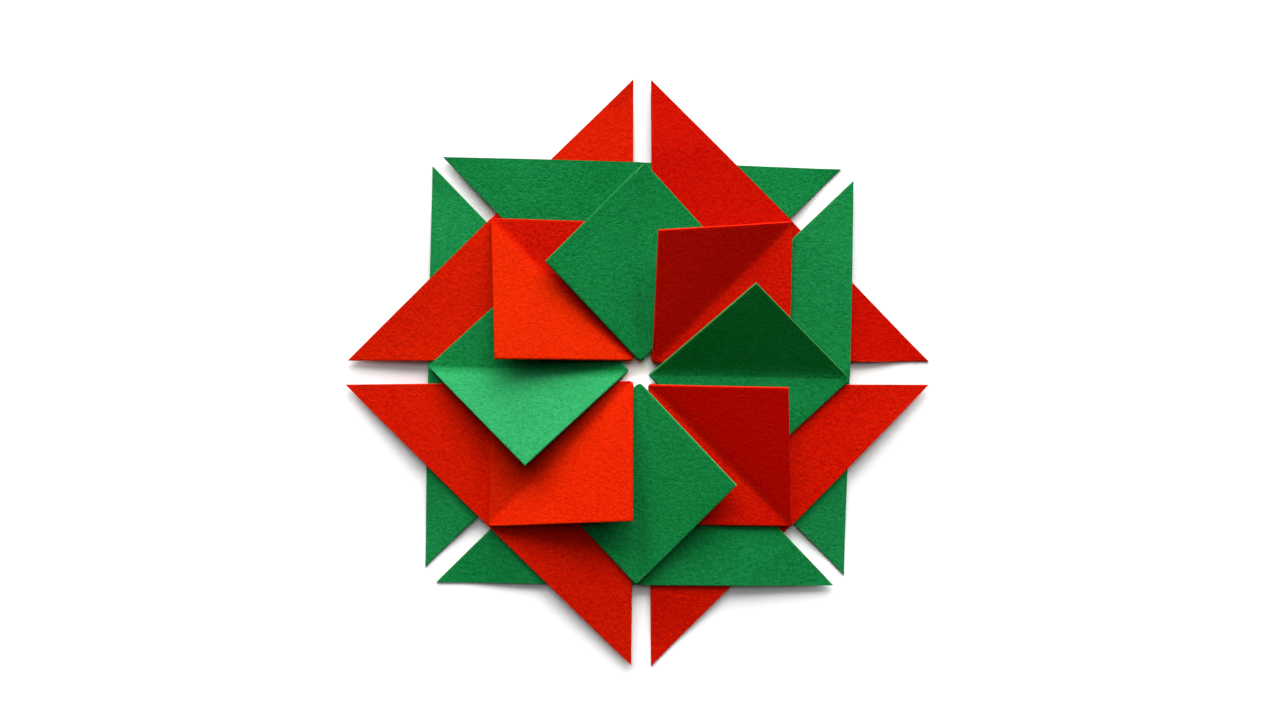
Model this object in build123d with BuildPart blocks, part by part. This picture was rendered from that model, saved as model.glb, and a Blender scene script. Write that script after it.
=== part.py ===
from build123d import *
from math import atan2, cos, hypot, radians, sin, sqrt
import os

# A wall or table mandala of eight square sheets. Each sheet is folded to a waterbomb base,
# and two of its corners are tucked back to the middle inside, so that the front of the
# triangle becomes a square flap with a crease down its axis. The sheets hang together
# because every long tip and every flap slides between the layers of the next sheet.
# Angles are in degrees, lengths in millimetres. A sheet's own frame has its apex at the
# origin, its axis along +X and its counterclockwise half on +Y, seen from above.

# Paper
sheet_side = 100.0
paper = 0.18
layer_gap = 0.06
nest_gap = 0.06
apex_round = 0.8
fold_loss = 0.6

# How the ring stands on the table
stand_height = 1.4
landing_length = 6.0
low_bend_at = 48.0
high_bend_at = 53.5
high_tip_drop = 0.9
bend_round = 25.0

# How each sheet lies: the direction of its axis, how far its apex stands out from the
# middle and to the side of the axis, its small turn, the lift of its free flap half, how
# wide the lane is between its crease and the neighbour's flap under that half, and whether
# its two base halves lie low (under the neighbour) or high (over the neighbour)
sheets = {
    "green_unit_north": dict(
        axis=90, out=2.6, side=0.3, turn=-1.3, lift=9, lane=1.6, paper="green", left="high", right="low"
    ),
    "red_unit_northeast": dict(
        axis=45, out=3.8, side=0.0, turn=0.1, lift=24, lane=1.1, paper="red", left="high", right="low"
    ),
    "green_unit_east": dict(
        axis=0, out=2.7, side=-0.4, turn=-1.2, lift=17, lane=3.0, paper="green", left="high", right="low"
    ),
    "red_unit_southeast": dict(
        axis=-45, out=3.9, side=-0.5, turn=0.1, lift=14, lane=1.2, paper="red", left="high", right="low"
    ),
    "green_unit_south": dict(
        axis=-90, out=2.9, side=-0.3, turn=-1.0, lift=10, lane=2.6, paper="green", left="high", right="low"
    ),
    "red_unit_southwest": dict(
        axis=-135, out=3.6, side=0.1, turn=0.0, lift=15, lane=1.0, paper="red", left="high", right="high"
    ),
    "green_unit_west": dict(
        axis=180, out=2.8, side=-0.7, turn=-1.2, lift=19, lane=3.2, paper="green", left="low", right="low"
    ),
    "red_unit_northwest": dict(
        axis=135, out=3.5, side=-0.7, turn=-0.2, lift=18, lane=1.4, paper="red", left="high", right="low"
    ),
}

# Where a base steps up from one level to the next beside its crease, between the
# neighbours' folded edges: from and to, measured across the axis. A flap's step starts
# here too, and ends where the sheet's lane does
base_step = {"green": (0.0, 1.2), "red": (-0.8, 0.3)}
flap_step_from = {"green": 0.0, "red": -0.7}

# Levels, all worked out from the paper
half = sheet_side / 2
leg = sheet_side / sqrt(2)
base_thick = 2 * paper + layer_gap
flap_thick = 4 * paper + 3 * layer_gap
low_base = stand_height
high_base = low_base + base_thick + nest_gap
low_flap = high_base + base_thick + nest_gap
high_flap = low_flap + flap_thick + nest_gap
base_level = {"low": low_base, "high": high_base}
flap_corner = half / 2 - fold_loss
wall_inset = paper * sqrt(2)
pair_inset = (paper + layer_gap) * sqrt(2)
middle_inset = (2 * paper + layer_gap) * sqrt(2)
overlap = paper / 2
spare = 5.0
ceiling = sheet_side / 2


def parallel(points, distance):
    """The same run of straight lines, shifted to its left by a distance."""
    angles = [atan2(q[1] - p[1], q[0] - p[0]) for p, q in zip(points, points[1:])]
    before = [angles[0]] + angles
    after = angles + [angles[-1]]
    shifted = []
    for point, one, two in zip(points, before, after):
        middle = (one + two) / 2
        reach = distance / cos((two - one) / 2)
        shifted.append((point[0] - reach * sin(middle), point[1] + reach * cos(middle)))
    return shifted


def layer(plane, points, lower, upper, bend=0.0):
    """A long strip of paper whose section follows a run of lines, between two depths."""
    with BuildPart() as strip:
        with BuildSketch(plane):
            with BuildLine():
                under = FilletPolyline(*parallel(points, lower), radius=bend)
                over = FilletPolyline(*parallel(points, upper), radius=bend)
                Line(under @ 0, over @ 0)
                Line(under @ 1, over @ 1)
            make_face()
        extrude(amount=sheet_side, both=True)
    return strip.part


def cut_to(strip, outline, rounded=False):
    """The strip inside an outline drawn from above, with its apex rounded if asked."""
    with BuildPart() as piece:
        add(strip)
        with BuildSketch(Plane.XY.offset(-spare)):
            with BuildLine():
                Polyline(*outline, close=True)
            make_face()
            if rounded:
                fillet(vertices().sort_by(Axis.X)[0], radius=apex_round)
        extrude(amount=ceiling, mode=Mode.INTERSECT)
    return piece.part


def base_layers(sheet, lower, upper, inset=0.0):
    """The two-layer triangle: a flat middle with a step at the crease, and two bent tips."""
    step_from, step_to = base_step[sheet["paper"]]
    left, right = base_level[sheet["left"]], base_level[sheet["right"]]
    section = [(-half - spare, right), (step_from, right), (step_to, left), (half + spare, left)]
    bends = {side: low_bend_at if sheet[side] == "low" else high_bend_at for side in ("left", "right")}
    bend_left, bend_right = bends["left"], bends["right"]
    middle = [
        (inset, 0),
        (bend_left / sqrt(2) + inset, bend_left / sqrt(2)),
        (half + inset, bend_left * sqrt(2) - half),
        (half + inset, half - bend_right * sqrt(2)),
        (bend_right / sqrt(2) + inset, -bend_right / sqrt(2)),
    ]
    across = layer(Plane.YZ, section, lower, upper)
    with BuildPart() as base:
        add(cut_to(across, middle, rounded=True))
        add(base_tip(sheet["left"], 1, lower, upper, inset))
        add(base_tip(sheet["right"], -1, lower, upper, inset))
    return base.part


def base_tip(level, side, lower, upper, inset):
    """The long tip past the neighbour's edge: a low one comes down to lie on the table."""
    if level == "low":
        bend_at = low_bend_at
        path = [(0, low_base), (bend_at, low_base), (leg - landing_length, 0), (leg + spare, 0)]
    else:
        bend_at = high_bend_at
        path = [(0, high_base), (bend_at, high_base), (leg + spare, high_base - high_tip_drop)]
    along = Vector(1, side, 0).normalized()
    upright = Plane(origin=(0, 0, 0), x_dir=along, z_dir=along.cross(Vector(0, 0, 1)))
    outline = [
        (bend_at / sqrt(2) + inset, side * bend_at / sqrt(2)),
        (half + inset, side * half),
        (half + inset, side * (bend_at * sqrt(2) - half)),
    ]
    return cut_to(layer(upright, path, lower, upper, bend_round), outline)


def flap_layers(sheet, lower, upper, apex_inset=0.0, tip_inset=0.0):
    """The square flap: its right half lies flat, its left half steps up and lifts."""
    step_from, step_to = flap_step_from[sheet["paper"]], sheet["lane"]
    rise = hypot(step_to - step_from, high_flap - low_flap)
    corner = flap_corner - (apex_inset + tip_inset) / 2
    corner_along = flap_corner + (apex_inset - tip_inset) / 2
    lifted = corner - step_from - rise
    corner_left = step_to + lifted * cos(radians(sheet["lift"]))
    run_out = half * cos(radians(sheet["lift"])), half * sin(radians(sheet["lift"]))
    section = [
        (-half, low_flap),
        (step_from, low_flap),
        (step_to, high_flap),
        (step_to + run_out[0], high_flap + run_out[1]),
    ]
    kink = step_from + rise
    tip = half - tip_inset
    outline = [
        (apex_inset, 0),
        (apex_inset + kink, step_to),
        (corner_along, corner_left),
        (tip - kink, step_to),
        (tip, 0),
        (corner_along, -corner),
    ]
    return cut_to(layer(Plane.YZ, section, lower, upper), outline, rounded=True)


def height_at_crease(step, right, left):
    """How high a layer that steps from one level to another runs over the crease."""
    step_from, step_to = step
    return right - (left - right) * step_from / (step_to - step_from)


def folded_sheet(sheet):
    """One sheet with all its layers, joined only where the paper is folded."""
    right, left = base_level[sheet["right"]], base_level[sheet["left"]]
    flap_step = flap_step_from[sheet["paper"]], sheet["lane"]
    base_height = height_at_crease(base_step[sheet["paper"]], right, left)
    flap_height = height_at_crease(flap_step, low_flap, high_flap)
    spine_foot = base_height + base_thick - overlap
    spine_height = flap_height + overlap - spine_foot
    with BuildPart() as unit:
        add(base_layers(sheet, 0, base_thick))
        add(flap_layers(sheet, 0, flap_thick))
        with BuildSketch(Plane.XY.offset(spine_foot)):
            with Locations(((half + apex_round) / 2, 0)):
                Rectangle(half - apex_round, 2 * paper)
        extrude(amount=spine_height)
        add(base_layers(sheet, paper, paper + layer_gap, wall_inset), mode=Mode.SUBTRACT)
        add(flap_layers(sheet, paper, flap_thick - paper, wall_inset, wall_inset), mode=Mode.SUBTRACT)
        add(flap_layers(sheet, paper + layer_gap, flap_thick - paper - layer_gap, pair_inset, overlap))
        add(
            flap_layers(sheet, 2 * paper + layer_gap, 2 * paper + 2 * layer_gap, middle_inset, -spare),
            mode=Mode.SUBTRACT,
        )
    return unit.part


def place(sheet):
    """Where a sheet's apex stands in the ring, and which way its axis points."""
    axis = radians(sheet["axis"])
    x = sheet["out"] * cos(axis) - sheet["side"] * sin(axis)
    y = sheet["out"] * sin(axis) + sheet["side"] * cos(axis)
    return x, y, sheet["axis"] + sheet["turn"]


def tips(sheet):
    """The two ends of a sheet's long edge, seen from above."""
    x, y, angle = place(sheet)
    ends = []
    for side in (1, -1):
        turn = radians(angle) + side * radians(45)
        ends.append((x + leg * cos(turn), y + leg * sin(turn)))
    return ends


# The middle of the ring's outline goes over the origin
ends = [end for sheet in sheets.values() for end in tips(sheet)]
middle_x = (min(end[0] for end in ends) + max(end[0] for end in ends)) / 2
middle_y = (min(end[1] for end in ends) + max(end[1] for end in ends)) / 2

os.makedirs("parts", exist_ok=True)
for name, sheet in sheets.items():
    x, y, angle = place(sheet)
    with BuildPart() as placed:
        with Locations(Location((x - middle_x, y - middle_y, 0), (0, 0, angle))):
            add(folded_sheet(sheet))
    placed.part.label = name
    export_step(placed.part, f"parts/{name}.step")
    print(name, "volume", round(placed.part.volume, 1), "solids", len(placed.part.solids()))
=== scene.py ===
from math import atan2, cos, degrees, hypot, pi, radians, sin, sqrt

import bpy
import numpy as np
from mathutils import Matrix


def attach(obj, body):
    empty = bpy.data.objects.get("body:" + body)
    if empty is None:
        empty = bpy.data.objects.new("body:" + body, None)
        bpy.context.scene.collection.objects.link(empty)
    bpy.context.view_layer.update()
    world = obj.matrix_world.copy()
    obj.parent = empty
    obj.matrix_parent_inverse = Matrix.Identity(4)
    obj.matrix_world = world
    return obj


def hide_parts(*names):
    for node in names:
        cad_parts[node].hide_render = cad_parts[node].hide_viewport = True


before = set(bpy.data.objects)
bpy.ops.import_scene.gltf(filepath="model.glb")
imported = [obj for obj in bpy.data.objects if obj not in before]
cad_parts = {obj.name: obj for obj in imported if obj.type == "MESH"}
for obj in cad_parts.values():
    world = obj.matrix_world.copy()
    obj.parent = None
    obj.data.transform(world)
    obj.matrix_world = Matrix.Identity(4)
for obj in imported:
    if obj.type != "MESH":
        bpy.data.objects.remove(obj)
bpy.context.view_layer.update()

# Folded paper mandala: eight square sheets of craft paper, four red and four green,
# hung together in a ring. The values in the dictionaries are in metres and degrees.

print("sharing out the paper's sizes")

# ---- values that every sheet shares ----
paper = {
    "side": 0.100,              # the square before folding
    "thick": 0.00018,
    "layerGap": 0.00006,        # air between two layers of one sheet
    "nestGap": 0.00006,         # air between two sheets
    "foldLoss": 0.0006,         # what the thickness takes off a flap's corner
    "stand": 0.0014,            # how far the ring's lowest layer stands off the table
    "cell": 0.0025,             # size of the mesh's cells before the folds
}
half = paper["side"] / 2
leg = paper["side"] / sqrt(2)
pairThick = 2 * paper["thick"] + paper["layerGap"]
flapThick = 4 * paper["thick"] + 3 * paper["layerGap"]
baseLevel = {"low": paper["stand"], "high": paper["stand"] + pairThick + paper["nestGap"]}
flapLevel = baseLevel["high"] + pairThick + paper["nestGap"]
slant = sqrt(0.5)

# how exactly places and directions are compared
tiny = 1e-7
hair = 1e-6
near = 2e-6
facing = 0.99


# ---- hand tools ----
def selectOnly(piece, kind, mask):
    # marks vertices, edges or polygons by a mask, and opens the piece in edit mode
    mesh = piece.data
    for domain in ("vertices", "edges", "polygons"):
        items = getattr(mesh, domain)
        items.foreach_set("select", mask if domain == kind else np.zeros(len(items), bool))
    modes = {
        "vertices": (True, False, False),
        "edges": (False, True, False),
        "polygons": (False, False, True),
    }
    bpy.context.tool_settings.mesh_select_mode = modes[kind]
    activate(piece)
    bpy.ops.object.mode_set(mode="EDIT")


def leaveEdit():
    bpy.ops.object.mode_set(mode="OBJECT")


def pointsOf(piece):
    flat = np.empty(len(piece.data.vertices) * 3)
    piece.data.vertices.foreach_get("co", flat)
    return flat.reshape(-1, 3)


def edgesOf(piece):
    flat = np.empty(len(piece.data.edges) * 2, int)
    piece.data.edges.foreach_get("vertices", flat)
    return flat.reshape(-1, 2)


def facesOf(piece):
    # every face's middle and normal
    middle = np.empty(len(piece.data.polygons) * 3)
    piece.data.polygons.foreach_get("center", middle)
    normal = np.empty(len(piece.data.polygons) * 3)
    piece.data.polygons.foreach_get("normal", normal)
    return middle.reshape(-1, 3), normal.reshape(-1, 3)


def selectAll(piece, kind):
    selectOnly(piece, kind, np.ones(len(getattr(piece.data, kind)), bool))


def activate(*pieces):
    # selects these pieces alone, with the first one active
    bpy.ops.object.select_all(action="DESELECT")
    for piece in pieces:
        piece.select_set(True)
    bpy.context.view_layer.objects.active = pieces[0]


def cutAlong(piece, point, across, trim=False):
    # a straight cut through the flat blank; trim throws away what lies beyond it
    selectAll(piece, "polygons")
    bpy.ops.mesh.bisect(
        plane_co=(point[0], point[1], 0), plane_no=(across[0], across[1], 0), clear_outer=trim,
        threshold=hair,
    )
    leaveEdit()


def useModifier(piece, kind, **settings):
    activate(piece)
    modifier = piece.modifiers.new(kind.title(), kind)
    for name, value in settings.items():
        setattr(modifier, name, value)
    bpy.ops.object.modifier_apply(modifier=modifier.name)


def turnFlat(piece, angle):
    # the operator turns the other way with no window, so its value is negated
    selectAll(piece, "vertices")
    bpy.ops.transform.rotate(value=-radians(angle), orient_axis="Z", center_override=(0, 0, 0))
    leaveEdit()


def bendLines(where, spread, runs):
    # where the small turns of one soft bend lie
    return [where + ((run + 0.5) / runs - 0.5) * spread for run in range(runs)]


def bendUp(piece, where, angle, spread, runs):
    # folds what lies past y = where by a few small turns about lines parallel to X
    for line in reversed(bendLines(where, spread, runs)):
        selectOnly(piece, "vertices", pointsOf(piece)[:, 1] > line - tiny)
        bpy.ops.transform.rotate(
            value=-radians(angle) / runs, orient_axis="X", center_override=(0, line, 0)
        )
        leaveEdit()


def circleIn(corner):
    # the middle of the circle that rounds a corner
    middle = radians(corner["from"] + corner["to"]) / 2
    reach = corner["radius"] / cos(radians(corner["to"] - corner["from"]) / 2)
    return corner["point"][0] - reach * cos(middle), corner["point"][1] - reach * sin(middle)


def cutRound(piece, corner, cuts=5):
    # rounds a corner by a few cuts that touch a circle; its angles, from and to, are the
    # directions of the two outlines' own outward normals
    centre = circleIn(corner)
    for cut in range(cuts):
        way = radians(corner["from"] + (corner["to"] - corner["from"]) * (cut + 0.5) / cuts)
        touch = (centre[0] + corner["radius"] * cos(way), centre[1] + corner["radius"] * sin(way))
        cutAlong(piece, touch, (cos(way), sin(way)), trim=True)


def onRound(corner):
    # a test for points that lie on a rounded corner's outline
    centre = np.array(circleIn(corner))
    middle = radians(corner["from"] + corner["to"]) / 2
    ahead = corner["radius"] * cos(radians(corner["to"] - corner["from"]) / 2)

    def test(spots):
        out = spots[:, :2] - centre
        far = np.hypot(out[:, 0], out[:, 1]) > corner["radius"] - near
        return far & (out @ np.array([cos(middle), sin(middle)]) > ahead - near)

    return test


def openRim(piece, way, low, high, depth, keep):
    # parts the layers of a rim: the row of faces between two heights is pushed inwards
    def rimFaces():
        middles, normals = facesOf(piece)
        return middles, (normals @ np.array([*way, 0]) > facing) & keep(middles)

    for height in (low, high):
        selectOnly(piece, "polygons", rimFaces()[1])
        bpy.ops.mesh.bisect(plane_co=(0, 0, height), plane_no=(0, 0, 1))
        leaveEdit()
    middles, rim = rimFaces()
    selectOnly(piece, "polygons", rim & (middles[:, 2] > low) & (middles[:, 2] < high))
    bpy.ops.mesh.extrude_region_move(
        TRANSFORM_OT_translate={"value": (-way[0] * depth, -way[1] * depth, 0)}
    )
    leaveEdit()


def weighEdges(piece, rules):
    # bevel weights by place: each rule is a test on an edge's two ends and a weight
    ends = pointsOf(piece)[edgesOf(piece)]
    level = np.abs(ends[:, 0, 2] - ends[:, 1, 2]) < tiny
    weights = np.zeros(len(ends))
    for test, weight in rules:
        weights[level & test(ends[:, 0]) & test(ends[:, 1])] = weight
    layer = piece.data.attributes.new("bevel_weight_edge", "FLOAT", "EDGE")
    layer.data.foreach_set("value", weights)


def onLine(point, across):
    # a test for points that lie on a line of the plan
    return lambda spots: np.abs((spots[:, :2] - np.array(point)) @ np.array(across)) < near


def foldsOn(outlines, heights):
    # a test for points that lie on any of some outlines, at any of some heights
    def test(spots):
        onOutline = np.any([outline(spots) for outline in outlines], axis=0)
        atHeight = np.any([np.abs(spots[:, 2] - height) < near for height in heights], axis=0)
        return onOutline & atHeight

    return test


def legsOf(sheet, skew=0.0):
    # the two folded legs, which meet at the sheet's apex, and how that apex is rounded;
    # skew moves the left leg's far end along the axis; each leg is a point and its outward way
    past = sheet["apexPast"]
    ways = [degrees(atan2(half + past + lean, -half)) for lean in (skew, 0.0)]
    legs = []
    for way, side in zip(ways, (1, -1)):
        legs.append(((-past, 0), (cos(radians(way)), side * sin(radians(way)))))
    apex = {"point": (-past, 0), "radius": sheet["apexRound"], "from": ways[0], "to": 360 - ways[1]}
    return legs, apex


def roundFolds(piece, fold):
    # rounds the edges that have a bevel weight
    useModifier(
        piece, "BEVEL", width=fold["rim"], segments=fold["rimCuts"], limit_method="WEIGHT",
        use_clamp_overlap=False,
    )


def distanceIn(spots, outlines):
    # how far inside the nearest of some outlines each point lies, in plan
    gaps = [-(spots[:, :2] - np.array(point)) @ np.array(across) for point, across in outlines]
    return np.min(gaps, axis=0)


def moveBy(piece, x, y, z):
    selectAll(piece, "vertices")
    bpy.ops.transform.translate(value=(x, y, z))
    leaveEdit()


def addBlank(name, outlines, creases):
    # a flat piece of paper: a grid, trimmed to its outlines and scored along its creases
    cells = round(paper["side"] / paper["cell"])
    bpy.ops.object.select_all(action="DESELECT")
    bpy.ops.mesh.primitive_grid_add(
        x_subdivisions=cells, y_subdivisions=cells, size=paper["side"],
        location=(half - paper["cell"], 0, 0),
    )
    blank = bpy.context.object
    blank.name = name
    bpy.ops.object.transform_apply(location=True, rotation=True, scale=True)
    for point, across in outlines:
        cutAlong(blank, point, across, trim=True)
    for point, across in creases:
        cutAlong(blank, point, across)
    return blank


def markPaper(piece, litAndWorn, faded=0.0):
    # writes where the folds get a pale painted highlight, partly rubbed wear, and how much painted
    # light makes the paper paler; below zero it is painted shade, which makes it darker instead
    for name, amount in (("wear", litAndWorn), ("faded", faded)):
        layer = piece.data.attributes.new(name, "FLOAT", "POINT")
        layer.data.foreach_set("value", np.zeros(len(piece.data.vertices)) + amount)


# ---- the two-layer triangle at the back of every sheet ----
base = {
    "rim": 0.00020,             # rounding of the folded legs
    "rimCuts": 3,
    "highlightAndRubWidth": 0.00016,     # how far in the folded legs get a pale painted highlight, partly rubbed wear
    "support": 0.00045,         # where the flat of the paper starts inside a folded edge
    "rimGap": 0.0014,           # how deep the raw edge shows its two layers
    "rise": {                   # where the left half steps up, from and to, across the axis
        "green": (0.0, 0.0012),
        "red": (-0.0008, 0.0003),
    },
    "riseSpread": 0.0006,       # width of the soft bends of that step
    "riseRuns": 4,
    "lowBend": 0.048,           # along the leg, where a low tip starts down to the table
    "highBend": 0.0535,         # and where a high tip starts to droop
    "landing": 0.006,           # length of a low tip that lies flat on the table
    "highDrop": 0.0009,         # how far a high tip droops
    "tipSpread": 0.0040,        # width of a soft bend in a tip, and how many small turns it has
    "tipRuns": 6,
}


def buildBase(sheet):
    levelOf = {1: sheet["left"], -1: sheet["right"]}        # 1 is the side towards +Y
    legs, apex = legsOf(sheet)
    inside = [((point[0] + base["support"] * sqrt(2), 0), across) for point, across in legs]
    inside.append(((half - base["support"], 0), (1, 0)))
    riseFrom, riseTo = base["rise"][sheet["paper"]]
    climb = baseLevel[sheet["left"]] - baseLevel[sheet["right"]]
    riseLong = hypot(riseTo - riseFrom, climb)
    riseLines = bendLines(riseFrom, base["riseSpread"], base["riseRuns"])
    riseLines += bendLines(riseFrom + riseLong, base["riseSpread"], base["riseRuns"])
    creases = inside + [((0, line), (0, 1)) for line in riseLines]
    for side, level in levelOf.items():
        bends = [base["lowBend"], leg - base["landing"]] if level == "low" else [base["highBend"]]
        for bend in bends:
            for line in bendLines(bend, base["tipSpread"], base["tipRuns"]):
                creases.append(((line * slant, side * line * slant), (slant, side * slant)))
    piece = addBlank(sheet["name"], legs + [((half, 0), (1, 0))], creases)
    cutRound(piece, apex)
    useModifier(piece, "SOLIDIFY", thickness=pairThick, offset=1)
    openRim(
        piece, (1, 0), paper["thick"], paper["thick"] + paper["layerGap"], base["rimGap"],
        lambda spots: np.abs(spots[:, 1]) < half - 2 * base["rimGap"],
    )
    legFolds = [onLine(*legs[0]), onLine(*legs[1]), onRound(apex)]
    weighEdges(piece, [(foldsOn(legFolds, (0, pairThick)), 1.0)])
    roundFolds(piece, base)
    # the folded legs get a pale painted highlight, partly rubbed wear
    litAndWorn = distanceIn(pointsOf(piece), legs) < base["highlightAndRubWidth"]
    # the base gets its painted light and shade as well
    markPaper(piece, litAndWorn, sheet["paintedLightShadeBase"])
    for side, level in levelOf.items():
        turn = 45 if side == 1 else 135
        turnFlat(piece, turn)               # the tip's folded edge now points along Y
        if level == "low":
            run = leg - base["landing"] - base["lowBend"]
            slope = degrees(atan2(baseLevel["low"], run))
            reach = base["lowBend"] + hypot(run, baseLevel["low"])
            bendUp(piece, reach, slope, base["tipSpread"], base["tipRuns"])
            bendUp(piece, base["lowBend"], -slope, base["tipSpread"], base["tipRuns"])
        else:
            slope = degrees(atan2(base["highDrop"], leg - base["highBend"]))
            bendUp(piece, base["highBend"], -slope, base["tipSpread"], base["tipRuns"])
        turnFlat(piece, -turn)
    if climb:
        slope = degrees(atan2(climb, riseTo - riseFrom))
        bendUp(piece, riseFrom + riseLong, -slope, base["riseSpread"], base["riseRuns"])
        bendUp(piece, riseFrom, slope, base["riseSpread"], base["riseRuns"])
    moveBy(piece, 0, 0, baseLevel[sheet["right"]])
    return piece


# ---- the four-layer square flap on its front ----
flap = {
    "rim": 0.00038,             # rounding of the folded edge with all four layers
    "pairRim": 0.00019,         # rounding of each pair of layers on the outer edges
    "rimCuts": 4,
    "highlightAndRubWidth": 0.00019,     # how far in the folded edge gets a pale painted highlight, partly rubbed wear
    "pairHighlightAndRubWidth": 0.000095,
    "paintedShadowWidth": 0.00042,       # and how far in from it a painted shadow line darkens the paper
    "support": 0.0009,          # where the flat of the paper starts inside an edge
    "rimGap": 0.0014,           # how deep the outer edges show their pairs of layers
    "paintedLightShadeOver": 0.002,          # the painted light and shade change from the flat half's to the free half's over this width
    "foldRuns": 6,
    "easeSpread": 0.0020,       # width of the soft turn from the climb to the free half
    "easeRuns": 6,
    "curlFrom": 0.005,          # the free half curls a little between here and its corner
    "curlTo": 0.021,
    "curlRuns": 6,
    "gusset": 0.0484,           # length of the fold that joins the flap to the base
    "gussetCells": (20, 2),
}


def buildFlap(sheet):
    corner = half / 2 - paper["foldLoss"]
    legs, apex = legsOf(sheet, sheet["skew"])
    noses = []                  # the two outer edges, which meet at the flap's nose
    noseWays = []               # directions of their outward normals
    for side, lean in ((1, sheet["skew"]), (-1, 0.0)):
        way = degrees(atan2(half - corner * (1 + lean / half), corner))
        noseWays.append(way)
        noses.append(((half, 0), (cos(radians(way)), side * sin(radians(way)))))
    nose = {
        "point": (half, 0), "radius": sheet["noseRound"], "from": -noseWays[1], "to": noseWays[0],
    }
    inside = [((point[0] + flap["support"] * sqrt(2), 0), across) for point, across in legs]
    inside += [((half - flap["support"] * sqrt(2), 0), across) for _, across in noses]
    curlMiddle = (flap["curlFrom"] + flap["curlTo"]) / 2
    curlSpread = flap["curlTo"] - flap["curlFrom"]
    lines = bendLines(sheet["foldAt"], sheet["foldSpread"], flap["foldRuns"])
    lines += bendLines(sheet["easeAt"], flap["easeSpread"], flap["easeRuns"])
    lines += bendLines(curlMiddle, curlSpread, flap["curlRuns"])
    creases = inside + [((0, line), (0, 1)) for line in [sheet["foldAt"]] + lines]
    piece = addBlank(sheet["name"] + "Flap", legs + noses, creases)
    cutRound(piece, apex)
    cutRound(piece, nose)
    useModifier(piece, "SOLIDIFY", thickness=flapThick, offset=1)
    for _, across in noses:
        openRim(
            piece, across, pairThick, pairThick + paper["layerGap"], flap["rimGap"],
            lambda spots: (np.abs(spots[:, 1]) > flap["rimGap"])
            & (spots[:, 0] > corner + 2 * flap["rimGap"]),
        )
    legFolds = [onLine(*legs[0]), onLine(*legs[1]), onRound(apex)]
    noseFolds = [onLine(*noses[0]), onLine(*noses[1]), onRound(nose)]
    weighEdges(piece, [
        (foldsOn(legFolds, (0, flapThick)), 1.0),
        (foldsOn(noseFolds, (0, flapThick)), flap["pairRim"] / flap["rim"]),
    ])
    roundFolds(piece, flap)
    markFlap(piece, sheet, legs, noses)
    easeTurn = sheet["lift"] - sheet["climb"]
    bendUp(piece, curlMiddle, sheet["curl"], curlSpread, flap["curlRuns"])
    bendUp(piece, sheet["easeAt"], easeTurn, flap["easeSpread"], flap["easeRuns"])
    bendUp(piece, sheet["foldAt"], sheet["climb"], sheet["foldSpread"], flap["foldRuns"])
    moveBy(piece, 0, 0, flapLevel)
    return piece


def markFlap(piece, sheet, legs, noses):
    spots = pointsOf(piece)
    fromLegs, fromNoses = distanceIn(spots, legs), distanceIn(spots, noses)
    # a pale painted highlight, partly rubbed wear, along the folded edges and the crease
    litAndWorn = (fromLegs < flap["highlightAndRubWidth"]) | (fromNoses < flap["pairHighlightAndRubWidth"])
    crease = (np.abs(spots[:, 1] - sheet["foldAt"]) < near) & (spots[:, 2] > flapThick - tiny)
    # painted light and shade, changing from the flat half's amount to the free half's
    free = np.clip((spots[:, 1] - sheet["foldAt"]) / flap["paintedLightShadeOver"], 0, 1)
    faded = sheet["paintedLightShadeFlat"] + free * (sheet["paintedLightShadeFree"] - sheet["paintedLightShadeFlat"])
    # a painted shadow line along the flap's folded edge on its flat side, written as painted shade
    paintedShadowMask = (fromLegs < flap["paintedShadowWidth"]) & (spots[:, 1] < 0)
    markPaper(
        piece, np.maximum(litAndWorn * sheet["edgeHighlightAndRub"], crease * sheet["creaseHighlightAndRub"]),
        faded - paintedShadowMask * sheet["paintedEdgeShadow"],
    )


def buildGusset(sheet):
    # the two thin walls of paper that run up the axis from the base to the flap
    bpy.ops.object.select_all(action="DESELECT")
    alongCells, acrossCells = flap["gussetCells"]
    bpy.ops.mesh.primitive_grid_add(x_subdivisions=alongCells, y_subdivisions=acrossCells, size=1)
    piece = bpy.context.object
    piece.name = sheet["name"] + "Gusset"
    selectAll(piece, "vertices")
    spread = (flap["gusset"], 2 * paper["thick"], 1)
    bpy.ops.transform.resize(value=spread, center_override=(0, 0, 0))
    leaveEdit()
    foot = baseLevel[sheet["right"]] + pairThick - paper["thick"] / 2
    useModifier(piece, "SOLIDIFY", thickness=flapLevel + paper["thick"] / 2 - foot, offset=1)
    markPaper(piece, 0.0)
    moveBy(piece, half - flap["gusset"] / 2 - paper["foldLoss"], 0, foot)
    return piece


# ---- the eight sheets ----
# Each one's own values: where it lies in the ring, by its axis, how far its apex stands out
# and to the side, and a small turn; whether its left and right halves nest low or high; the
# crease of its flap, the climb beside it and the lift of the free half past that; that half's
# curl and skew; how its corners are rounded; how much painted highlight, partly rubbed wear,
# its folds and crease get; how dark a painted shadow line runs along its flap's folded edge;
# and the painted light (above zero) and painted shade (below zero) on its base, flat half
# and free half.
greenNorth = {
    "name": "greenNorth", "node": "green_unit_north", "paper": "green",
    "axis": 90, "out": 0.0026, "side": 0.0003, "turn": -1.3, "left": "high", "right": "low",
    "foldAt": 0.0, "foldSpread": 0.0020, "climb": 23.5, "easeAt": 0.0021, "lift": 9,
    "curl": -2, "skew": 0.0, "apexRound": 0.0014, "apexPast": 0.0, "noseRound": 0.0013,
    "edgeHighlightAndRub": 0.6, "creaseHighlightAndRub": 0.0, "paintedEdgeShadow": 0.0,
    "paintedLightShadeBase": 0.0, "paintedLightShadeFlat": 0.0, "paintedLightShadeFree": 0.0,
}
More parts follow.
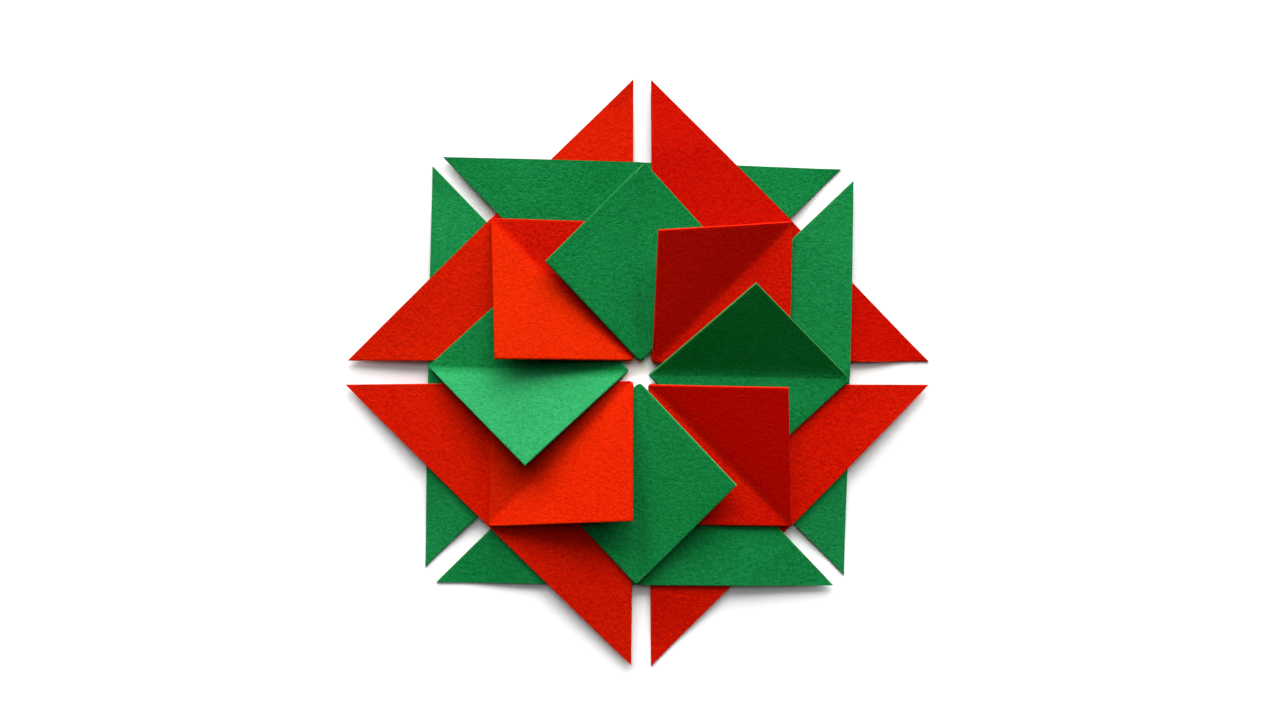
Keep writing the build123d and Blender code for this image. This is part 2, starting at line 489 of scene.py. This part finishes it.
redNortheast = {
    "name": "redNortheast", "node": "red_unit_northeast", "paper": "red",
    "axis": 45, "out": 0.0038, "side": 0.0, "turn": 0.1, "left": "high", "right": "low",
    "foldAt": -0.0004, "foldSpread": 0.0018, "climb": 24.3, "easeAt": 0.0019, "lift": 26,
    "curl": -2, "skew": -0.0020, "apexRound": 0.0012, "apexPast": 0.0002, "noseRound": 0.0010,
    "edgeHighlightAndRub": 0.5, "creaseHighlightAndRub": 0.0, "paintedEdgeShadow": 0.0,
    "paintedLightShadeBase": -0.3, "paintedLightShadeFlat": 0.0, "paintedLightShadeFree": -0.45,
}
greenEast = {
    "name": "greenEast", "node": "green_unit_east", "paper": "green",
    "axis": 0, "out": 0.0027, "side": -0.0004, "turn": -1.2, "left": "high", "right": "low",
    "foldAt": 0.0, "foldSpread": 0.0008, "climb": 17.0, "easeAt": 0.0031, "lift": 20,
    "curl": -2, "skew": 0.0007, "apexRound": 0.0008, "apexPast": 0.0010, "noseRound": 0.0008,
    "edgeHighlightAndRub": 0.8, "creaseHighlightAndRub": 0.25, "paintedEdgeShadow": 0.0,
    "paintedLightShadeBase": 0.08, "paintedLightShadeFlat": 0.0, "paintedLightShadeFree": -0.65,
}
redSoutheast = {
    "name": "redSoutheast", "node": "red_unit_southeast", "paper": "red",
    "axis": -45, "out": 0.0039, "side": -0.0005, "turn": 0.1, "left": "high", "right": "low",
    "foldAt": -0.0004, "foldSpread": 0.0018, "climb": 22.9, "easeAt": 0.0019, "lift": 17,
    "curl": -2, "skew": -0.0008, "apexRound": 0.0008, "apexPast": 0.0008, "noseRound": 0.0010,
    "edgeHighlightAndRub": 0.5, "creaseHighlightAndRub": 0.1, "paintedEdgeShadow": 0.0,
    "paintedLightShadeBase": 0.0, "paintedLightShadeFlat": 0.0, "paintedLightShadeFree": -0.75,
}
greenSouth = {
    "name": "greenSouth", "node": "green_unit_south", "paper": "green",
    "axis": -90, "out": 0.0029, "side": -0.0003, "turn": -1.0, "left": "high", "right": "low",
    "foldAt": 0.0, "foldSpread": 0.0012, "climb": 16.3, "easeAt": 0.0031, "lift": 10,
    "curl": -1, "skew": 0.0, "apexRound": 0.0014, "apexPast": 0.0009, "noseRound": 0.0010,
    "edgeHighlightAndRub": 0.8, "creaseHighlightAndRub": 0.1, "paintedEdgeShadow": 0.0,
    "paintedLightShadeBase": 0.0, "paintedLightShadeFlat": 0.0, "paintedLightShadeFree": -0.15,
}
redSouthwest = {
    "name": "redSouthwest", "node": "red_unit_southwest", "paper": "red",
    "axis": -135, "out": 0.0036, "side": 0.0001, "turn": 0.0, "left": "high", "right": "high",
    "foldAt": -0.0004, "foldSpread": 0.0016, "climb": 25.0, "easeAt": 0.0018, "lift": 16,
    "curl": -2, "skew": -0.0015, "apexRound": 0.0013, "apexPast": 0.0010, "noseRound": 0.0010,
    "edgeHighlightAndRub": 0.0, "creaseHighlightAndRub": 0.1, "paintedEdgeShadow": 1.2,
    "paintedLightShadeBase": 0.06, "paintedLightShadeFlat": 0.2, "paintedLightShadeFree": 0.25,
}
greenWest = {
    "name": "greenWest", "node": "green_unit_west", "paper": "green",
    "axis": 180, "out": 0.0028, "side": -0.0007, "turn": -1.2, "left": "low", "right": "low",
    "foldAt": 0.0, "foldSpread": 0.0010, "climb": 19.0, "easeAt": 0.0033, "lift": 14,
    "curl": -2, "skew": 0.0018, "apexRound": 0.0010, "apexPast": 0.0, "noseRound": 0.0008,
    "edgeHighlightAndRub": 0.3, "creaseHighlightAndRub": 0.2, "paintedEdgeShadow": 0.0,
    "paintedLightShadeBase": 0.08, "paintedLightShadeFlat": 0.0, "paintedLightShadeFree": 0.7,
}
redNorthwest = {
    "name": "redNorthwest", "node": "red_unit_northwest", "paper": "red",
    "axis": 135, "out": 0.0035, "side": -0.0007, "turn": -0.2, "left": "high", "right": "low",
    "foldAt": -0.0004, "foldSpread": 0.0024, "climb": 20.9, "easeAt": 0.0021, "lift": 14,
    "curl": -2, "skew": 0.0, "apexRound": 0.0008, "apexPast": 0.0, "noseRound": 0.0010,
    "edgeHighlightAndRub": 0.3, "creaseHighlightAndRub": 0.0, "paintedEdgeShadow": 0.0,
    "paintedLightShadeBase": 0.1, "paintedLightShadeFlat": 0.0, "paintedLightShadeFree": 0.34,
}
sheets = [
    greenNorth, redNortheast, greenEast, redSoutheast,
    greenSouth, redSouthwest, greenWest, redNorthwest,
]


# ---- the paper's own unevenness ----
# one slow wave through the whole stack, so that the layers stay nested; what lies on the
# table stays flat
wave = {"size": 0.030, "depth": 0.0003, "calmBelow": 0.0004, "fullAbove": 0.0016}
waveTexture = bpy.data.textures.new("slowWave", "CLOUDS")
waveTexture.noise_scale = wave["size"]
waveTexture.noise_depth = 1


def sway(piece):
    heights = pointsOf(piece)[:, 2]
    freedom = np.clip((heights - wave["calmBelow"]) / (wave["fullAbove"] - wave["calmBelow"]), 0, 1)
    group = piece.vertex_groups.new(name="free")
    for index, weight in enumerate(freedom):
        group.add([index], float(weight), "REPLACE")
    useModifier(
        piece, "DISPLACE", texture=waveTexture, texture_coords="GLOBAL", direction="Z",
        strength=wave["depth"], mid_level=0.5, vertex_group="free",
    )
    piece.vertex_groups.clear()


def placeOf(sheet):
    # a sheet's apex before the ring is centred, and its final turn
    axis = radians(sheet["axis"])
    x = sheet["out"] * cos(axis) - sheet["side"] * sin(axis)
    y = sheet["out"] * sin(axis) + sheet["side"] * cos(axis)
    return x, y, sheet["axis"] + sheet["turn"]


def middleOfRing():
    tips = []
    for sheet in sheets:
        x, y, angle = placeOf(sheet)
        for offset in (45, -45):
            way = radians(angle + offset)
            tips.append((x + leg * cos(way), y + leg * sin(way)))
    tips = np.array(tips)
    return (tips.min(axis=0) + tips.max(axis=0)) / 2


def buildSheet(sheet):
    layers = [buildBase(sheet), buildFlap(sheet), buildGusset(sheet)]
    activate(*layers)
    bpy.ops.object.join()
    piece = layers[0]
    x, y, angle = placeOf(sheet)
    middle = middleOfRing()
    turnFlat(piece, angle)
    moveBy(piece, x - middle[0], y - middle[1], 0)
    sway(piece)
    return piece


# ---- the paper's finish ----
# deep and light are the dye's two tones; then come the folds' pale colour, a painted highlight
# that is partly rubbed wear, the paler colour of painted light, and the deeper colour of painted
# shade
redPaper = {
    "name": "redPaper", "deep": (0.53, 0.0004, 0.0), "light": (0.80, 0.014, 0.0),
    "highlightAndRub": (0.82, 0.050, 0.006), "faded": (0.86, 0.045, 0.0), "paintedShade": (0.56, 0.0, 0.0),
}
greenPaper = {
    "name": "greenPaper", "deep": (0.0, 0.152, 0.024), "light": (0.014, 0.288, 0.078),
    "highlightAndRub": (0.14, 0.36, 0.13), "faded": (0.045, 0.46, 0.16), "paintedShade": (0.0, 0.105, 0.004),
}
grain = {
    "mottle": (1150, 3, 0.6),       # scale, detail and roughness of the soft flecks
    "fibre": (2800, 4, 0.65),
    "cloud": (45, 2, 0.5),          # slow drift of the dye
    "mottleShare": 0.5,
    "fibreShare": 0.5,
    "feltShare": 0.8,               # of the tone, and the clouds make the rest
    "cloudShare": 0.2,
    "deepAt": 0.36,
    "lightAt": 0.64,
    "highlightAndRubGain": 1.2,                 # how much the fibres break up the folds' painted highlight and wear
    "highlightAndRubShift": -0.1,
    "paintedLightGain": 0.7,                # and how much the flecks break up the painted light
    "paintedLightShift": 0.65,
    "relief": 0.00040,
    "strength": 1.0,
    "roughness": 0.7,
    "gloss": 0.02,
}


def makePaper(dye):
    material = bpy.data.materials.new(dye["name"])
    material.use_nodes = True
    tree = material.node_tree
    shader = tree.nodes["Principled BSDF"]
    shader.inputs["Roughness"].default_value = grain["roughness"]
    shader.inputs["Specular IOR Level"].default_value = grain["gloss"]
    place = tree.nodes.new("ShaderNodeTexCoord")

    def noise(scale, detail, roughness):
        node = tree.nodes.new("ShaderNodeTexNoise")
        node.inputs["Scale"].default_value = scale
        node.inputs["Detail"].default_value = detail
        node.inputs["Roughness"].default_value = roughness
        tree.links.new(place.outputs["Object"], node.inputs["Vector"])
        return node.outputs["Fac"]

    def attribute(name):
        node = tree.nodes.new("ShaderNodeAttribute")
        node.attribute_name = name
        return node.outputs["Fac"]

    def fill(socket, value):
        if isinstance(value, bpy.types.NodeSocket):
            tree.links.new(value, socket)
        else:
            socket.default_value = value

    def times(one, two):
        node = tree.nodes.new("ShaderNodeMath")
        node.operation = "MULTIPLY"
        fill(node.inputs[0], one)
        fill(node.inputs[1], two)
        return node.outputs["Value"]

    def timesPlus(one, two, three):
        node = tree.nodes.new("ShaderNodeMath")
        node.operation = "MULTIPLY_ADD"
        for socket, value in zip(node.inputs, (one, two, three)):
            fill(socket, value)
        return node.outputs["Value"]

    def blend(factor, one, two):
        node = tree.nodes.new("ShaderNodeMix")
        node.data_type = "RGBA"
        fill(node.inputs["Factor"], factor)
        for socket, value in ((node.inputs["A"], one), (node.inputs["B"], two)):
            fill(socket, (*value, 1) if isinstance(value, tuple) else value)
        return node.outputs["Result"]

    mottle = noise(*grain["mottle"])
    fibre = noise(*grain["fibre"])
    cloud = noise(*grain["cloud"])
    felt = timesPlus(mottle, grain["mottleShare"], times(fibre, grain["fibreShare"]))
    tone = timesPlus(felt, grain["feltShare"], times(cloud, grain["cloudShare"]))
    spreadTone = tree.nodes.new("ShaderNodeMapRange")
    spreadTone.inputs["From Min"].default_value = grain["deepAt"]
    spreadTone.inputs["From Max"].default_value = grain["lightAt"]
    tree.links.new(tone, spreadTone.inputs["Value"])
    flecks = spreadTone.outputs["Result"]
    colour = blend(flecks, dye["deep"], dye["light"])
    # painted light makes the paper paler where this is above zero, painted shade makes it deeper
    # where it is below zero
    faded = attribute("faded")
    paintedLightFlecks = times(faded, timesPlus(flecks, grain["paintedLightGain"], grain["paintedLightShift"]))
    colour = blend(paintedLightFlecks, colour, dye["faded"])
    colour = blend(times(faded, -1.0), colour, dye["paintedShade"])
    # the folds get a pale painted highlight that is partly rubbed wear
    highlightAndRub = times(attribute("wear"), timesPlus(fibre, grain["highlightAndRubGain"], grain["highlightAndRubShift"]))
    tree.links.new(blend(highlightAndRub, colour, dye["highlightAndRub"]), shader.inputs["Base Color"])
    bump = tree.nodes.new("ShaderNodeBump")
    bump.inputs["Strength"].default_value = grain["strength"]
    bump.inputs["Distance"].default_value = grain["relief"]
    tree.links.new(felt, bump.inputs["Height"])
    tree.links.new(bump.outputs["Normal"], shader.inputs["Normal"])
    return material


print("mixing the papers")
papers = {"red": makePaper(redPaper), "green": makePaper(greenPaper)}
sharpFrom = 35      # degrees, for shading

for sheet in sheets:
    piece = buildSheet(sheet)
    piece.data.materials.clear()
    piece.data.materials.append(papers[sheet["paper"]])
    activate(piece)
    bpy.ops.object.shade_smooth_by_angle(angle=radians(sharpFrom))
    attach(piece, "root")
    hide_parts(sheet["node"])
    print("folded", sheet["name"], len(piece.data.polygons), "faces")

# ---- the table top ----
print("laying the table")
floor = {
    "size": 8.0,
    "colour": (0.85, 0.85, 0.85),   # what lights the paper from below
    "seen": (1.2, 1.2, 1.2),        # what the camera sees
    "paintedLightMiddle": (3.2, 3.2, 3.2),       # and a painted pool of light that the camera sees in the ring's open middle, lifting the shade there
    "reach": 0.03,                  # how far that painted light reaches
    "roughness": 0.8,
    "gloss": 0.1,
}


def makeTableTop():
    material = bpy.data.materials.new("paleTable")
    material.use_nodes = True
    tree = material.node_tree
    shader = tree.nodes["Principled BSDF"]
    shader.inputs["Roughness"].default_value = floor["roughness"]
    shader.inputs["Specular IOR Level"].default_value = floor["gloss"]
    place = tree.nodes.new("ShaderNodeTexCoord")
    shrink = tree.nodes.new("ShaderNodeMapping")
    shrink.inputs["Scale"].default_value = [1 / floor["reach"]] * 3
    # painted light: the floor seen by the camera gets brighter towards the ring's middle, lifting
    # the shade in its open centre
    paintedLightMiddle = tree.nodes.new("ShaderNodeTexGradient")
    paintedLightMiddle.gradient_type = "SPHERICAL"
    seen = tree.nodes.new("ShaderNodeMix")
    colour = tree.nodes.new("ShaderNodeMix")
    for mix, value in ((seen, floor["seen"]), (colour, floor["colour"])):
        mix.data_type = "RGBA"
        mix.inputs["A"].default_value = (*value, 1)
    seen.inputs["B"].default_value = (*floor["paintedLightMiddle"], 1)
    ray = tree.nodes.new("ShaderNodeLightPath")
    tree.links.new(place.outputs["Object"], shrink.inputs["Vector"])
    tree.links.new(shrink.outputs["Vector"], paintedLightMiddle.inputs["Vector"])
    tree.links.new(paintedLightMiddle.outputs["Fac"], seen.inputs["Factor"])
    tree.links.new(seen.outputs["Result"], colour.inputs["B"])
    tree.links.new(ray.outputs["Is Camera Ray"], colour.inputs["Factor"])
    tree.links.new(colour.outputs["Result"], shader.inputs["Base Color"])
    return material


bpy.ops.object.select_all(action="DESELECT")
bpy.ops.mesh.primitive_plane_add(size=floor["size"])
table = bpy.context.object
table.name = "tableTop"
table.data.materials.append(makeTableTop())

# ---- one wide window beyond the table's far edge, as a row of low suns and a higher one ----
print("opening the window")
light = {
    "low": (60, 80, 100, 120), "lowElevation": 22, "lowStrength": 1.66,
    "high": 90, "highElevation": 62, "highStrength": 0.62,
    "spread": 38,       # how wide each sun looks, in degrees
    "fill": 0.02,       # the room's own light
    "backdrop": 1.0,    # how bright the camera sees the room
}
suns = [(azimuth, light["lowElevation"], light["lowStrength"]) for azimuth in light["low"]]
suns.append((light["high"], light["highElevation"], light["highStrength"]))
for azimuth, elevation, strength in suns:
    bpy.ops.object.light_add(type="SUN")
    window = bpy.context.object
    window.name = f"softWindow{azimuth}"
    window.data.angle = radians(light["spread"])
    window.data.energy = strength
    window.rotation_euler = (pi / 2 - radians(elevation), 0, radians(azimuth + 90))

world = bpy.data.worlds.new("softRoom")
bpy.context.scene.world = world
world.use_nodes = True
room = world.node_tree.nodes["Background"]
room.inputs["Color"].default_value = (1, 1, 1, 1)
ray = world.node_tree.nodes.new("ShaderNodeLightPath")
brightness = world.node_tree.nodes.new("ShaderNodeMapRange")
brightness.inputs["To Min"].default_value = light["fill"]
brightness.inputs["To Max"].default_value = light["backdrop"]
world.node_tree.links.new(ray.outputs["Is Camera Ray"], brightness.inputs["Value"])
world.node_tree.links.new(brightness.outputs["Result"], room.inputs["Strength"])

# ---- the camera, nearly straight above ----
print("placing the camera")
view = {
    "place": (-0.01519, 0.00697, 0.30127),
    "turn": (-0.678, -2.842, -0.067),       # degrees
    "pixels": 1200,                         # focal length, in pixels of the picture
    "pictureWidth": 1280,
    "sensor": 36,
    "nearest": 0.01,
}
turn = [radians(angle) for angle in view["turn"]]
bpy.ops.object.camera_add(location=view["place"], rotation=turn)
camera = bpy.context.object
camera.data.sensor_width = view["sensor"]
camera.data.lens = view["sensor"] * view["pixels"] / view["pictureWidth"]
camera.data.clip_start = view["nearest"]
bpy.context.scene.camera = camera
bpy.context.scene.view_settings.view_transform = "Standard"
